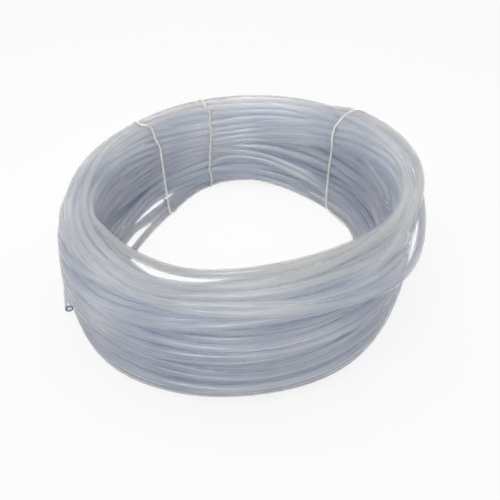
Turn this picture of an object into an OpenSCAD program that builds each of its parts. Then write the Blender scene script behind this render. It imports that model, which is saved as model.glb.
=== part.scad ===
// Silicone tubing coil: one long soft tube wound into a tall loose ring and held by three string ties.
// The ring lies flat, with its axis along Z and the surface it rests on at z = 0. All sizes are in mm.

/* [Tubing] */
// Outside diameter of the tubing
tube_od = 6; // [4:0.5:9]
// Wall thickness of the tubing
tube_wall = 1; // [0.5:0.25:1.5]
// How far neighbouring turns press into each other
squeeze = 0.15; // [0.1:0.05:0.4]

/* [Coil] */
// Width of the open eye in the middle
eye_d = 224; // [140:2:320]
// Turns side by side from the eye to the outside
columns = 5; // [3:2:7]
// Turns on top of each other in the tallest column
rows = 16; // [8:1:22]
// How far the lowest turn flattens where it rests
rest_sag = 0.4; // [0.2:0.1:0.8]

/* [Free end] */
// Azimuth at which the tubing leaves the coil
end_azimuth = 196; // [165:1:215]
// Straight length of tubing beyond the coil
end_length = 24; // [14:1:40]
// Row of the outermost column above which the free end lies
end_row = 0; // [0:1:5]
// Gap between the free end and the turns that it leaves
end_gap = 0.25; // [0.15:0.05:0.5]

/* [Ties] */
// Thickness of the string
tie_d = 1.4; // [0.8:0.1:2]
// Gap between the string and the tubing
tie_gap = 0.2; // [0.1:0.05:0.4]
// Width of the knot, in thicknesses of the string
knot_ratio = 2; // [1.6:0.1:2]
// Azimuth of the left tie
tie_left_azimuth = 131; // [118:1:140]
// Azimuth of the middle tie
tie_middle_azimuth = 106; // [85:1:112]
// Azimuth of the right tie
tie_right_azimuth = 46; // [20:1:75]

/* [Hidden] */
$fn = 64;

// Neighbouring turns sit in each other's valleys, like stacked logs
turn_pitch = tube_od - squeeze;
column_pitch = turn_pitch * sin(60);
middle = (columns - 1) / 2;
lowest_z = tube_od / 2 - rest_sag;
mid_z = lowest_z + (rows - 1) / 2 * turn_pitch;

// The last stretch of tubing lies in the valley between two outer turns, from the left tie to the free end
end_r = column_r(columns);
end_z = slot_z(columns - 1, end_row) + turn_pitch / 2;
// Angle kept free between the left tie and the start of that stretch
lead_clear = 2;
end_sweep = end_azimuth - tie_left_azimuth - lead_clear;

// The string runs round the bundle at this distance from the turns at its corners
tie_r = tube_od / 2 + tie_gap + tie_d / 2;
// The string thins a little where it is stretched straight between corners
stretch_thinning = 0.05;
run_d = tie_d - stretch_thinning;
// Clearance that keeps the string's lowest run off the floor
tie_floor = 0.1;
// The knot sits at the middle of the outer side, between two turns
knot_d = knot_ratio * tie_d;
// Inside the knot the two ends of the string stop this far from its middle
knot_part = tie_d / 4;
knot_z = slot_z(columns - 1, floor(rows / 2) - 1) + turn_pitch / 2;

// How far a cut reaches past the face that it opens
overcut = 1;

tubing_colour = [0.72, 0.76, 0.83];
string_colour = [0.9, 0.88, 0.82];

// Radius at which the turns of a column run
function column_r(column) = eye_d / 2 + tube_od / 2 + column * column_pitch;

// Turns in a column: one fewer for each step away from the middle column
function column_rows(column) = rows - abs(column - middle);

// Height of a turn's centre
function slot_z(column, row) = mid_z + (row - (column_rows(column) - 1) / 2) * turn_pitch;

function slot(column, row) = [column_r(column), slot_z(column, row)];

function is_rim(column, row) =
    column == 0 || column == columns - 1 || row == 0 || row == column_rows(column) - 1;

// Corners of the bundle's six-sided section, anticlockwise from the bottom of the eye side
bundle_corners = [
    slot(0, 0),
    slot(middle, 0),
    slot(columns - 1, 0),
    slot(columns - 1, column_rows(columns - 1) - 1),
    slot(middle, rows - 1),
    slot(0, column_rows(0) - 1)
];

// The string's corners are the bundle's, but its lowest one is lifted clear of the floor
tie_corners = [
    for (i = [0 : len(bundle_corners) - 1])
        i == 1 ? [bundle_corners[1].x, tie_floor + tie_d / 2 + tie_r] : bundle_corners[i]
];
outer_bottom = 2;

function edge(i) = tie_corners[(i + 1) % len(tie_corners)] - tie_corners[i % len(tie_corners)];

function heading(v) = atan2(v.y, v.x);

// Direction from a straight run of the string away from the bundle
function facing(i) = heading(edge(i)) - 90;

function toward(angle) = [cos(angle), sin(angle)];

// Anticlockwise angle from one direction to another
function turn_between(from, to) = (to - from + 720) % 360;

// Straight runs and turns of the string, from the knot up the outer side, over the top and back from below
tie_turns = [
    for (i = [outer_bottom : outer_bottom + len(tie_corners) - 1])
        turn_between(facing(i), facing(i + 1))
];
tie_runs = [
    tie_corners[outer_bottom + 1].y - knot_z - knot_part,
    for (i = [outer_bottom + 1 : outer_bottom + len(tie_corners) - 1]) norm(edge(i)),
    knot_z - knot_part - tie_corners[outer_bottom].y
];

// Section of the wound bundle: turns show as ridges round a closed middle, flattened where it rests
module bundle_section() {
    difference() {
        union() {
            polygon(bundle_corners);
            for (column = [0 : columns - 1])
                for (row = [0 : column_rows(column) - 1])
                    if (is_rim(column, row))
                        translate(slot(column, row))
                            circle(d = tube_od);
        }
        translate([0, -tube_od])
            square([2 * column_r(columns), tube_od]);
    }
}

// Last stretch of the wound tubing, up to the plane where the free end begins
module lead_out() {
    rotate([0, 0, end_azimuth - end_sweep])
        rotate_extrude(angle = end_sweep)
            translate([end_r, end_z])
                circle(d = tube_od);
}

// Room under the bundle for the lowest run of a tie, which the soft turns close round
module tie_notch(azimuth) {
    ceiling = tube_od / 2 - squeeze;
    corners = [for (i = [0 : 2]) tie_corners[i]];
    down = [toward(facing(0)), toward(facing(1))];
    roof = [
        corners[0] + ceiling * down[0],
        corners[1] + ceiling / cos(turn_between(facing(0), facing(1)) / 2)
            * toward((facing(0) + facing(1)) / 2),
        corners[2] + ceiling * down[1]
    ];
    width = tie_d + 2 * tie_gap;
    rotate([0, 0, azimuth])
        rotate([90, 0, 0])
            translate([0, 0, -width / 2])
                linear_extrude(height = width)
                    polygon([
                        [corners[0].x, -overcut],
                        [corners[2].x, -overcut],
                        roof[2],
                        roof[1],
                        roof[0]
                    ]);
}

// Places a shape drawn along Z where the free end leaves the coil
module at_free_end() {
    rotate([0, 0, end_azimuth])
        translate([end_r, 0, end_z])
            rotate([-90, 0, 0])
                children();
}

// The outer turns give way to the free end where it leaves the valley between them
module tubing_coil() {
    color(tubing_colour)
        difference() {
            union() {
                rotate_extrude()
                    bundle_section();
                lead_out();
            }
            at_free_end()
                cylinder(h = end_length, d = tube_od + 2 * end_gap);
            tie_notch(tie_left_azimuth);
            tie_notch(tie_middle_azimuth);
            tie_notch(tie_right_azimuth);
        }
}

// Free end of the tubing, cut square, with its bore open towards the front
module tubing_end() {
    color(tubing_colour)
        at_free_end()
            difference() {
                cylinder(h = end_length, d = tube_od);
                translate([0, 0, tube_od])
                    cylinder(h = end_length, d = tube_od - 2 * tube_wall);
            }
}

// String from one step of its way round the bundle to the knot: a straight run, an arc round a corner, and the rest
module lay_string(step) {
    rotate([-90, 0, 0])
        cylinder(h = tie_runs[step], d = run_d);
    if (step < len(tie_turns))
        translate([-tie_r, tie_runs[step], 0]) {
            rotate_extrude(angle = tie_turns[step])
                translate([tie_r, 0])
                    circle(d = tie_d);
            rotate([0, 0, tie_turns[step]])
                translate([tie_r, 0, 0])
                    lay_string(step + 1);
        }
}

// String tied once round the bundle, with its knot in a valley of the outer side
module tie(azimuth) {
    color(string_colour)
        rotate([0, 0, azimuth])
            rotate([90, 0, 0])
                translate([tie_corners[outer_bottom].x + tie_r, knot_z, 0]) {
                    sphere(d = knot_d);
                    translate([0, knot_part, 0])
                        lay_string(0);
                }
}

module tie_left() {
    tie(tie_left_azimuth);
}

module tie_middle() {
    tie(tie_middle_azimuth);
}

module tie_right() {
    tie(tie_right_azimuth);
}

tubing_coil();
tubing_end();
tie_left();
tie_middle();
tie_right();
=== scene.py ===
import math

import bmesh
import bpy
import numpy as np
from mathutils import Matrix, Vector


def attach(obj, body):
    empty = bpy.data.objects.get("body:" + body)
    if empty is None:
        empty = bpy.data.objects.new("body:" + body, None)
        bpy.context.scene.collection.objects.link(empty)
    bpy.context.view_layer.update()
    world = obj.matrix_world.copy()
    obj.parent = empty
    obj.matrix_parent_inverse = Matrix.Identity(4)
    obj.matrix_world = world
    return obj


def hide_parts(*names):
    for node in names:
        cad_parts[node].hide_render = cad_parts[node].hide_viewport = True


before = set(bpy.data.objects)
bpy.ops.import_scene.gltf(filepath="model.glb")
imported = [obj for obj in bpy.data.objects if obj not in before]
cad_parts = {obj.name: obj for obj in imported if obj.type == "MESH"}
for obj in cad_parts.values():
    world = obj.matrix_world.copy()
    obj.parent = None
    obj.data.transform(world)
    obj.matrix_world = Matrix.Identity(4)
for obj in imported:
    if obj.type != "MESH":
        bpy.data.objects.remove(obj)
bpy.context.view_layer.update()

# Camera: a hand-held distance from the coil, looking down over its front rim into the eye.
# It aims a little right of the ring's axis and low in the eye, as the photograph is framed.
aim = Vector((0.0064, 0, 0.0211))
view_distance = 0.607
view_elevation = math.radians(37.2)
view = bpy.data.cameras.new("view")
view.sensor_width = 36
view.lens = 56.7
camera = bpy.data.objects.new("camera", view)
camera.location = aim + view_distance * Vector((0, -math.cos(view_elevation), math.sin(view_elevation)))
camera.rotation_euler = (math.pi / 2 - view_elevation, 0, 0)
bpy.context.scene.collection.objects.link(camera)
bpy.context.scene.camera = camera

# Tubing: one 50 m length of soft translucent silicone tube, extruded 6 mm outside with a 4 mm bore.
# It is wound by hand round a drum and slipped off, so turns wander over each other and a few hang loose.
tube_od = 0.006
tube_wall = 0.001
# Turns of each column in the order of winding; column 0 is next to the eye
rows_by_column = {1: 11, 0: 15, 2: 12, 3: 11, 4: 15}
last_column = max(rows_by_column)
turns = sum(rows_by_column.values())
steps = 84
end_azimuth = 209.5
azimuth = end_azimuth + 360 * np.arange(steps) / steps


def near(middle, reach):
    """1 at an azimuth, falling smoothly to 0 at reach degrees on either side."""
    distance = np.abs((azimuth - middle + 180) % 360 - 180)
    return 0.5 + 0.5 * np.cos(math.pi * np.clip(distance / reach, 0, 1))


# The bundle's section changes round the ring: it is widest at the back right and slim at the front right,
# lifts off the floor at the back, is squarest at the left tie, and its top dips at the front left
section_r = (
    0.1234 + 0.003 * near(100, 45) + 0.003 * near(42, 34) - 0.003 * near(352, 38)
    - 0.002 * near(341, 22) + 0.0045 * near(22, 26) + 0.003 * near(236, 30)
)
section_width = (
    0.029 + 0.014 * near(46, 40) - 0.004 * near(104, 36) - 0.0095 * near(338, 34)
    + 0.006 * near(22, 26) + 0.006 * near(232, 34)
)
section_low = 0.007 * near(92, 44)
section_top = (
    0.0955 + 0.0094 * np.cos(np.radians(azimuth + 60)) - 0.0165 * near(243, 30)
    - 0.0015 * near(150, 45) + 0.0013 * near(95, 45) + 0.002 * near(20, 30)
)
section_square = 2.8 + 2.5 * near(138, 40)
section_middle = np.stack([section_r, (section_top + section_low) / 2], axis=1)
section_half = np.stack([section_width, section_top - section_low], axis=1) / 2 - tube_od / 2

# Turns start in columns, wound up and down in turn with the first end buried. The innermost and
# outermost columns span a little less of the height than the rest.
side_share = 0.92
slots = []
for order, (column, rows) in enumerate(rows_by_column.items()):
    heights = np.linspace(-0.5, 0.5, rows) * (side_share if column in (0, last_column) else 1)
    if order % 2 == 1:
        heights = heights[::-1]
    slots += [(column / last_column - 0.5, height) for height in heights]
line = (section_middle + 2 * section_half * np.array(slots)[:, None]).reshape(-1, 2)

# Each turn wanders across and up and down as it goes round
wander_across = 0.0025
wander_up = 0.0055
wander_steps = 15
chance = np.random.default_rng(11)
spread = np.exp(-0.5 * (np.arange(-4 * wander_steps, 4 * wander_steps + 1) / wander_steps) ** 2)
spread = spread / np.sqrt((spread ** 2).sum())
for axis, amount in enumerate((wander_across, wander_up)):
    drift = np.convolve(chance.normal(size=len(line) + 8 * wander_steps), spread, "valid")
    line[:, axis] += amount * drift

# Loose turns, each led by azimuth in degrees, distance from the axis and height in millimetres.
# Azimuths run on past 360 beyond the right-hand side.
loose = [
    # Three strands that lie side by side on the floor at the left of the eye
    (26, [(430, 134, 3), (448, 136, 3), (458, 134, 3), (465, 127, 3), (472, 118.5, 3), (481, 108.3, 3),
          (492, 102.2, 3), (499, 100.4, 3), (506, 101.7, 5.5), (514, 103.5, 8), (530, 104.5, 8.8),
          (545, 106, 8.8)]),
    (25, [(420, 125, 3), (435, 129, 3), (448, 130, 3), (458, 128, 3), (465, 121, 3), (472, 112.5, 3),
          (481, 102.3, 3), (492, 96.2, 3), (505, 93.3, 3), (515, 92.3, 3), (523, 92.5, 3),
          (540, 95.5, 3), (562, 105, 3), (585, 112, 3)]),
    (24, [(420, 127, 8), (445, 129, 8.5), (456, 128, 9), (466, 127, 8.5), (472, 121, 6.5),
          (478, 113.2, 3.8), (486, 107.3, 3), (494, 106, 3), (503, 105.7, 3), (511, 105.7, 3),
          (518, 104.5, 3), (535, 106, 3), (562, 111, 4)]),
    # Lowest turns of the eye's wall, low at the right and lifted at the back
    (23, [(320, 111, 4), (345, 104, 3), (362, 101, 3), (374, 104, 3), (381, 107, 3), (391, 112, 3),
          (402, 111.5, 3), (412, 113.3, 3), (420, 115.4, 3), (428, 118, 4), (436, 118.5, 7.5),
          (446, 117.5, 12), (456, 116.5, 14.5), (470, 114, 14), (484, 112, 14.5), (495, 111, 13),
          (503, 110.5, 8.5), (510, 110.5, 4.5), (525, 110, 3), (545, 110.5, 3)]),
    (22, [(322, 112, 9), (345, 109, 4), (362, 106, 3), (376, 109, 3), (390, 114, 6), (405, 114, 9),
          (418, 116, 9.5), (430, 118, 13), (446, 116.5, 20), (456, 115, 22), (470, 113, 22.5),
          (484, 111, 21), (495, 110, 19), (503, 109.5, 14.5), (510, 109.5, 10.5), (530, 109, 8.5),
          (545, 109.5, 9)]),
    (21, [(470, 113, 28.5), (484, 111.5, 27), (495, 110.5, 25), (503, 110, 20.5), (510, 109.5, 16.5),
          (530, 109.5, 14.5)]),
    (21, [(325, 113, 14), (345, 112, 9), (362, 109, 6), (376, 111, 7), (392, 113, 11)]),
    (20, [(330, 113, 19), (362, 111, 12), (395, 114, 17)]),
    # Strand that hangs loose outside the bundle at the front right
    (62, [(235, 130, 78), (262, 133.5, 81), (280, 136.5, 83.5), (294, 138, 79.5), (305, 139, 75),
          (313, 139, 70.5), (322, 138.7, 65), (330, 138.5, 63), (337, 137.3, 66), (343, 135.5, 70),
          (352, 133, 74.5), (364, 130, 79), (374, 128, 82)]),
    # Front rim, which stands up from the bundle with a slit below it at the left
    (11, [(215, 112, 88), (239, 112, 89.8), (250, 113, 89.8), (267, 113, 94.8), (281, 113, 98),
          (296, 113.5, 97.5), (310, 115, 96), (325, 117.5, 93), (338, 119, 91)]),
    (12, [(250, 121, 79.5), (258, 119.5, 84.5), (270, 118.5, 92), (285, 118.5, 95), (300, 119, 95.5),
          (315, 120.5, 93.5), (335, 123, 91)]),
    (13, [(212, 112, 82), (222, 111.5, 82), (231, 112, 79.5), (238, 114, 76.5), (248, 117, 74.2),
          (256, 115.5, 81.2), (265, 114, 88.5), (281, 113.5, 92), (298, 114, 92), (312, 115.5, 90),
          (330, 118, 86.5)]),
    (14, [(262, 118, 82), (275, 117, 86.5), (290, 117, 89), (308, 118.5, 88.5), (335, 121, 84.5)]),
    (15, [(266, 113.5, 81), (281, 113, 86), (300, 113.5, 86), (330, 116.5, 81)]),
    (37, [(268, 122.5, 84), (275, 122, 88.5), (290, 122.5, 91), (310, 124, 90), (335, 126, 86)]),
    (61, [(268, 127, 82), (280, 127, 88), (300, 128.5, 88), (322, 129, 84)]),
    (60, [(265, 131.5, 77.5), (280, 131.5, 83), (300, 133.5, 82.5), (320, 132.5, 78)]),
    (59, [(265, 135, 72), (280, 135, 77), (300, 136, 75.5), (320, 134, 71)]),
    # First end, buried at the bottom of the bundle
    (0, [(209.5, 124, 9), (225, 122, 8), (245, 119, 6)]),
    # Lowest outer turns, spread over the floor at the front
    (49, [(208, 125, 3), (222, 128, 3), (235, 129.5, 3), (255, 126, 3), (275, 123.5, 3),
          (300, 127.5, 3), (318, 125, 3), (345, 124, 3)]),
    (50, [(208, 127, 8.5), (222, 130.5, 8), (235, 133, 7.5), (255, 130.5, 7), (275, 128.5, 7),
          (300, 132, 7.5), (318, 128.5, 8), (332, 125.5, 8), (345, 128, 8)]),
    (51, [(208, 128.5, 14.5), (222, 132, 13.5), (235, 135, 13), (255, 134.5, 12.5), (275, 133, 12.5),
          (300, 135.5, 13), (318, 131, 14), (332, 127, 14), (345, 130, 14)]),
    (52, [(208, 130, 20.5), (222, 133, 19.5), (235, 136.5, 18.5), (255, 137, 18.5), (275, 137, 18.5),
          (300, 137.5, 19), (318, 132.5, 20), (332, 128, 20), (345, 130, 20)]),
    (53, [(208, 131, 26.5), (225, 134.5, 25), (318, 132, 26), (332, 128.5, 26), (345, 130.5, 26)]),
    # Last turn, over the top at the right and then down the outside to the cut end at the left
    (63, [(328, 127.5, 94), (345, 128, 95.5), (362, 128, 96.5), (380, 125, 96), (400, 124, 93.5)]),
    (63, [(480, 138, 60), (510, 136, 40), (535, 133.5, 22), (550, 133, 13), (564, 135.5, 10)]),
]
ease_degrees = 15
pull = np.zeros(len(line))
target = line.copy()
for turn, keys in loose:
    key_azimuth, key_r, key_height = np.array(keys).T
    places = np.arange(turn * steps, min((turn + 2) * steps, len(line)))
    at = end_azimuth + 360 * (places - turn * steps) / steps
    ease = np.clip(np.minimum(at - key_azimuth[0], key_azimuth[-1] - at) / ease_degrees + 1, 0, 1)
    led = ease > 0
    pull[places[led]] = ease[led]
    target[places[led], 0] = np.interp(at[led], key_azimuth, key_r / 1000)
    target[places[led], 1] = np.interp(at[led], key_azimuth, key_height / 1000)

# The turns push each other apart, stay in the bundle unless they are loose, and bend gently
sweeps = 260
stiff_sweeps = 220
push_share = 0.3
most_push = 3
gather_share = 0.25
lead_share = 0.35
bend_share = 0.25
free = (1 - pull).reshape(turns, steps).T[..., None]
squareness = section_square[:, None]
for sweep in range(sweeps):
    planes = line.reshape(turns, steps, 2).transpose(1, 0, 2)
    apart = planes[:, :, None] - planes[:, None]
    gap = np.sqrt((apart ** 2).sum(-1)) + np.eye(turns)
    planes = planes + push_share * (np.clip(tube_od / gap - 1, 0, most_push)[..., None] * apart).sum(2)
    offset = (planes - section_middle[:, None]) / section_half[:, None]
    reached = (np.abs(offset) ** squareness[..., None]).sum(-1) ** (1 / squareness)
    inside = section_middle[:, None] + section_half[:, None] * offset / np.maximum(reached, 1)[..., None]
    planes = planes + gather_share * free * (inside - planes)
    line = planes.transpose(1, 0, 2).reshape(-1, 2)
    line += lead_share * pull[:, None] * (target - line)
    line[:, 1] = np.maximum(line[:, 1], tube_od / 2)
    for bend in range(3 if sweep < stiff_sweeps else 2):
        line[1:-1] += bend_share * (line[:-2] + line[2:] - 2 * line[1:-1])

# The ring is a little oval, longer from front to back, and leans to the right and the front as it rises
oval = 0.006
narrow_azimuth = 167
middle_height = 0.047
lean_right = 0.08
lean_front = 0.03
around = np.radians(np.tile(azimuth, turns))
ring_r = line[:, 0] - oval * np.cos(2 * (around - math.radians(narrow_azimuth)))
risen = line[:, 1] - middle_height
points = np.stack([
    ring_r * np.cos(around) + lean_right * risen,
    ring_r * np.sin(around) - lean_front * risen,
    line[:, 1],
], axis=1)
length = float(np.linalg.norm(np.diff(points, axis=0), axis=1).sum())


def swept_wall(wall_r, roundness):
    """A round wall of that radius swept along the winding, open at both ends."""
    curve = bpy.data.curves.new("winding", "CURVE")
    curve.dimensions = "3D"
    curve.bevel_depth = wall_r
    curve.bevel_resolution = roundness
    run = curve.splines.new("POLY")
    run.points.add(len(points) - 1)
    run.points.foreach_set("co", np.c_[points, np.ones(len(points))].ravel())
    swept = bpy.data.objects.new("winding", curve)
    bpy.context.scene.collection.objects.link(swept)
    bpy.context.view_layer.update()
    made = bpy.data.meshes.new_from_object(swept.evaluated_get(bpy.context.evaluated_depsgraph_get()))
    bpy.data.objects.remove(swept)
    return made


# The outside and the bore are joined by a flat cut face at each end
outside = swept_wall(wall_r=tube_od / 2, roundness=4)
bore = swept_wall(wall_r=tube_od / 2 - tube_wall, roundness=1)
tube = bmesh.new()
tube.from_mesh(outside)
outside_faces = len(tube.faces)
tube.from_mesh(bore)
tube.faces.ensure_lookup_table()
bmesh.ops.reverse_faces(tube, faces=tube.faces[outside_faces:])
for face in tube.faces:
    face.smooth = True
for tip in (Vector(points[0]), Vector(points[-1])):
    open_edges = [edge for edge in tube.edges if edge.is_boundary]
    rims = [edge for edge in open_edges if (edge.verts[0].co - tip).length < tube_od]
    for face in bmesh.ops.bridge_loops(tube, edges=rims)["faces"]:
        face.material_index = 1
shape = bpy.data.meshes.new("tubing")
tube.to_mesh(shape)
tube.free()
tubing = bpy.data.objects.new("tubing", shape)
bpy.context.scene.collection.objects.link(tubing)

# Each point of the wall keeps its place round the section and along the length, for streaks along the tube
streak_length = 0.4
wall = []
for mesh in (outside, bore):
    sides = len(mesh.vertices) // len(points)
    turned = np.tile(2 * math.pi * np.arange(sides) / sides, len(points))
    along = np.repeat(np.linspace(0, length, len(points)), sides)
    wall.append(np.stack([np.cos(turned), np.sin(turned), along / streak_length], axis=1))
wall_places = shape.attributes.new("wall", "FLOAT_VECTOR", "POINT")
wall_places.data.foreach_set("vector", np.concatenate(wall).ravel())


class Value:
    """A shader socket that takes part in sums, so a material reads as arithmetic."""

    def __init__(self, tree, socket):
        self.tree = tree
        self.socket = socket

    def node(self, kind, sockets, settings=None, output=0):
        """The output of a new node, with its settings made and its sockets set or linked."""
        made = self.tree.nodes.new("ShaderNode" + kind)
        for name, setting in (settings or {}).items():
            setattr(made, name, setting)
        for name, given in sockets.items():
            if isinstance(given, Value):
                self.tree.links.new(given.socket, made.inputs[name])
            else:
                made.inputs[name].default_value = given
        return Value(self.tree, made.outputs[output])

    def blend(self, low, high):
        """The colour that goes from low to high as this value goes from 0 to 1."""
        return self.node("Mix", {"Factor": self, 6: low, 7: high}, {"data_type": "RGBA"}, output=2)

    def sum(self, operation, first, second):
        return self.node("Math", {0: first, 1: second}, {"operation": operation})

    def __add__(self, other):
        return self.sum("ADD", self, other)

    def __mul__(self, other):
        return self.sum("MULTIPLY", self, other)

    __radd__ = __add__
    __rmul__ = __mul__


def new_material(name):
    """A material with its shader and its Object coordinates."""
    material = bpy.data.materials.new(name)
    material.use_nodes = True
    shader = material.node_tree.nodes["Principled BSDF"]
    coordinates = material.node_tree.nodes.new("ShaderNodeTexCoord")
    return material, shader, Value(material.node_tree, coordinates.outputs["Object"])


def feed(node, socket, value):
    """Links a value to a socket of a node."""
    value.tree.links.new(value.socket, node.inputs[socket])


# The silicone is clear blue to milky grey in streaks along the tube. Towards the top of the coil it turns a
# warmer, lighter grey: painted light, standing in for light that shines through the top turns.
clear_blue = (0.178, 0.203, 0.268, 1)
milky_grey = (0.398, 0.387, 0.378, 1)
painted_light_grey = (0.33, 0.316, 0.288, 1)
painted_light_from = 0.07
painted_light_to = 0.1
painted_light_share = 0.6
silicone, shader, place = new_material("silicone")
wall_place = place.node("Attribute", {}, {"attribute_name": "wall"}, output=1)
streak = place.node("TexNoise", {"Vector": wall_place, "Scale": 4.2, "Detail": 3.0, "Roughness": 0.6})
cloud = place.node("TexNoise", {"Vector": place, "Scale": 16.0, "Detail": 2.0})
haze = 0.75 * streak + 0.25 * cloud
milkiness = place.node("MapRange", {"Value": haze, "From Min": 0.36, "From Max": 0.64})
height = place.node("SeparateXYZ", {"Vector": place}, output=2)
# Painted light: the colour blends towards the warmer, lighter grey as the height rises to the top of the
# coil.
painted_light_mask = place.node("MapRange", {"Value": height, "From Min": painted_light_from, "From Max": painted_light_to})
feed(shader, "Base Color", (painted_light_share * painted_light_mask).blend(milkiness.blend(clear_blue, milky_grey), painted_light_grey))
feed(shader, "Roughness", 0.08 + 0.14 * streak)
shader.subsurface_method = "BURLEY"
shader.inputs["IOR"].default_value = 1.41
shader.inputs["Specular IOR Level"].default_value = 1.0
shader.inputs["Coat Weight"].default_value = 1.0
shader.inputs["Coat Roughness"].default_value = 0.04
shader.inputs["Coat IOR"].default_value = 1.85
shader.inputs["Alpha"].default_value = 0.45
shader.inputs["Subsurface Weight"].default_value = 1.0
shader.inputs["Subsurface Radius"].default_value = (0.75, 0.9, 1.15)
shader.inputs["Subsurface Scale"].default_value = 0.028
shape.materials.append(silicone)
cut_face, shader, place = new_material("silicone_cut")
shader.inputs["Base Color"].default_value = (0.1, 0.115, 0.16, 1)
shader.inputs["Roughness"].default_value = 0.4
shape.materials.append(cut_face)

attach(tubing, "root")
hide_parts("tubing_coil", "tubing_end")

# Ties: three lengths of thin off-white cotton string, each knotted once round the bundle at the back.
# They are drawn snug, so each lies straight between the turns that stand out furthest.
tie_d = 0.0016
ply_r = 0.27 * tie_d
ply_offset = 0.23 * tie_d
twist_length = 0.0045
knot_size = 0.45 * tie_d
knot_depth = 0.9
knot_lift = 0.7 * tie_d
tail_reach = 0.007
tail_drop = 0.008
tail_lift = 0.4 * tie_d
loop_points = 600
easings = 160
cotton, shader, place = new_material("cotton_string")
fleck = place.node("TexNoise", {"Vector": place, "Scale": 900.0, "Detail": 2.0})
feed(shader, "Base Color", fleck.blend((0.80, 0.77, 0.69, 1), (0.93, 0.91, 0.85, 1)))
shader.inputs["Roughness"].default_value = 0.85


def lay(curve, strand, closed=False):
    """Adds one ply of string along a line of points."""
    run = curve.splines.new("POLY")
    run.points.add(len(strand) - 1)
    run.points.foreach_set("co", np.c_[strand, np.ones(len(strand))].ravel())
    run.use_cyclic_u = closed


def outward_at(degrees):
    """Level direction away from the ring's axis at an azimuth."""
    return np.array([math.cos(math.radians(degrees)), math.sin(math.radians(degrees)), 0])


# Azimuth of each string by the way it faces from the bundle: 0 outward, 90 up, 180 to the eye, 270 down
faced = [0, 60, 110, 150, 180, 200, 245, 300, 360]
ties = {
    "tie_left": [134, 134.5, 137, 133, 128, 125, 121.5, 125, 134],
    "tie_middle": [107, 107.5, 107, 105.5, 104, 102.5, 102, 104, 107],
    "tie_right": [45, 43, 47, 51, 48.5, 38, 36, 40, 45],
}
upward = np.array([0, 0, 1.0])
for name, azimuths in ties.items():
    # The string rests on the turn that stands out furthest each way it faces, and is eased between them
    snug = []
    for facing in range(0, 360, 2):
        degrees = np.interp(facing, faced, azimuths)
        here = np.arange(turns) * steps + (degrees - end_azimuth) % 360 / 360 * steps
        crossed = [np.interp(here, np.arange(len(points)), points[:, axis]) for axis in range(3)]
        crossed = np.stack(crossed, axis=1)
        off = math.cos(math.radians(facing)) * outward_at(degrees) + math.sin(math.radians(facing)) * upward
        snug.append(crossed[np.argmax(crossed @ off)] + (tube_od + tie_d) / 2 * off)
    rests = np.array(snug + snug[:1])
    so_far = np.concatenate([[0], np.cumsum(np.linalg.norm(np.diff(rests, axis=0), axis=1))])
    even = np.linspace(0, so_far[-1], loop_points, endpoint=False)
    loop = np.stack([np.interp(even, so_far, rests[:, axis]) for axis in range(3)], axis=1)
    for easing in range(easings):
        loop += bend_share * (np.roll(loop, 1, axis=0) + np.roll(loop, -1, axis=0) - 2 * loop)
    loop[:, 2] = np.maximum(loop[:, 2], tie_d / 2)
    outward = outward_at(azimuths[0])
    sideways = np.cross(upward, outward)

    # Two plies twist round each other all the way round
    ahead = np.roll(loop, -1, axis=0) - np.roll(loop, 1, axis=0)
    ahead /= np.linalg.norm(ahead, axis=1)[:, None]
    away = np.cross(ahead, sideways)
    away /= np.linalg.norm(away, axis=1)[:, None]
    beside = np.cross(away, ahead)
    twist = 2 * math.pi * round(so_far[-1] / twist_length) * np.arange(len(loop)) / len(loop)
    string = bpy.data.curves.new(name, "CURVE")
    string.dimensions = "3D"
    string.bevel_depth = ply_r
    string.bevel_resolution = 1
    for half in (0, math.pi):
        ply_turn = twist[:, None] + half
        lay(string, loop + ply_offset * (np.cos(ply_turn) * away + np.sin(ply_turn) * beside), closed=True)

    # The knot is a small tight overhand loop halfway up the outer side, with two short cut ends
    off_middle = np.abs(loop[:, 2] - middle_height)
    knot_at = loop[np.argmin(off_middle - 10 * loop @ outward)] + knot_lift * outward
    angle = np.linspace(0, 2 * math.pi, 60, endpoint=False)[:, None]
    across = np.sin(angle) + 2 * np.sin(2 * angle)
    up = np.cos(angle) - 2 * np.cos(2 * angle)
    out = -np.sin(3 * angle)
    knot = knot_size * (across * sideways + up * upward + knot_depth * out * outward)
    lay(string, knot_at + knot, closed=True)
    reach = np.linspace(0, 1, 24)[:, None]
    for side in (-1, 1):
        tail = reach * (tail_reach * side * sideways + tail_lift * outward)
        lay(string, knot_at + tail - tail_drop * reach ** 2 * upward)
    if name == "tie_right":
        # A slack end lies on the floor beside the eye
        slack_end = np.array([0.0948, 0.0566, tie_d / 2])
        slack_bow = 0.003
        low = loop[np.argmin(loop @ outward + 4 * loop[:, 2])]
        share = np.linspace(0, 1, 30)[:, None]
        lay(string, low + share * (slack_end - low) - slack_bow * np.sin(math.pi * share) * outward)
    string.materials.append(cotton)
    piece = bpy.data.objects.new(name + "_string", string)
    bpy.context.scene.collection.objects.link(piece)
    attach(piece, "root")
    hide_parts(name)

# Floor and light: a flat sheet of white paper under soft light from above, as in a product photograph.
# The paper keeps a faint shadow, and what the camera sees of it away from the coil is white.
floor_mesh = bpy.data.meshes.new("floor")
sheet = bmesh.new()
bmesh.ops.create_grid(sheet, x_segments=1, y_segments=1, size=6)
sheet.to_mesh(floor_mesh)
sheet.free()
floor = bpy.data.objects.new("floor", floor_mesh)
bpy.context.scene.collection.objects.link(floor)


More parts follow.
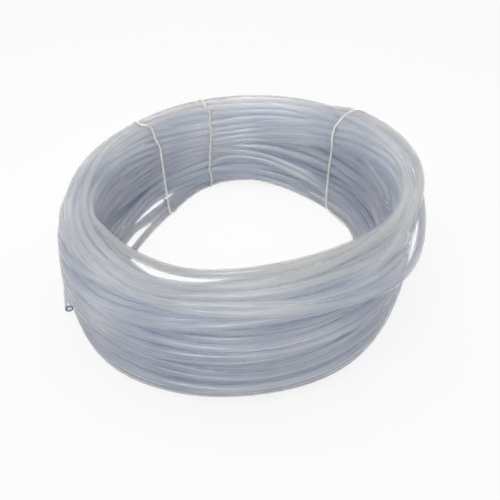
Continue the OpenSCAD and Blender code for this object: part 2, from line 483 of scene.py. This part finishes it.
def seen_directly(value):
    """1 for what the camera sees itself, or off or through the tubing, and 0 for other light."""
    kinds = ("Camera", "Glossy", "Transmission")
    rays = [value.node("LightPath", {}, output="Is " + kind + " Ray") for kind in kinds]
    return rays[0] + rays[1] + rays[2]


whiteness = 0.86
paper, shader, place = new_material("paper")
shader.inputs["Base Color"].default_value = (0.93, 0.95, 0.98, 1)
shader.inputs["Roughness"].default_value = 0.9
white = place.node("Emission", {"Color": (1, 1, 1, 1), "Strength": 1.0})
lit = Value(paper.node_tree, shader.outputs[0])
ground = place.node("MixShader", {0: whiteness * seen_directly(place), 1: lit, 2: white})
feed(paper.node_tree.nodes["Material Output"], "Surface", ground)
floor_mesh.materials.append(paper)

# The room gives a dimmer, warmer light than the white that is seen of it
room_light = 0.58
room_colour = (1, 0.96, 0.91, 1)
world = bpy.data.worlds.new("studio")
world.use_nodes = True
bpy.context.scene.world = world
background = world.node_tree.nodes["Background"]
seen = seen_directly(Value(world.node_tree, background.outputs[0]))
feed(background, "Strength", room_light + (1 - room_light) * seen)
feed(background, "Color", seen.blend(room_colour, (1, 1, 1, 1)))

# Lamps: place, the point each faces, width and depth, spread in degrees, watts and colour
lamps = {
    "front": ((-0.3, -0.75, 1.1), (0, 0, 0), (0.9, 0.12), 180, 5.2, (0.92, 0.96, 1)),
    "eye": ((0, -0.06, 0.34), (0, 0.12, 0.04), (0.3, 0.06), 80, 0.11, (1, 0.96, 0.9)),
    "back": ((0.05, 0.2, 1.1), (0, 0, 0), (1.1, 0.12), 180, 1.2, (1, 0.97, 0.93)),
}
for name, (spot, toward, panel, beam, power, colour) in lamps.items():
    lamp = bpy.data.lights.new(name, "AREA")
    lamp.shape = "RECTANGLE"
    lamp.size, lamp.size_y = panel
    lamp.spread = math.radians(beam)
    lamp.energy = power
    lamp.color = colour
    light = bpy.data.objects.new(name, lamp)
    light.location = spot
    light.rotation_euler = (Vector(toward) - Vector(spot)).to_track_quat("-Z", "Y").to_euler()
    bpy.context.scene.collection.objects.link(light)

bpy.context.scene.view_settings.view_transform = "Standard"
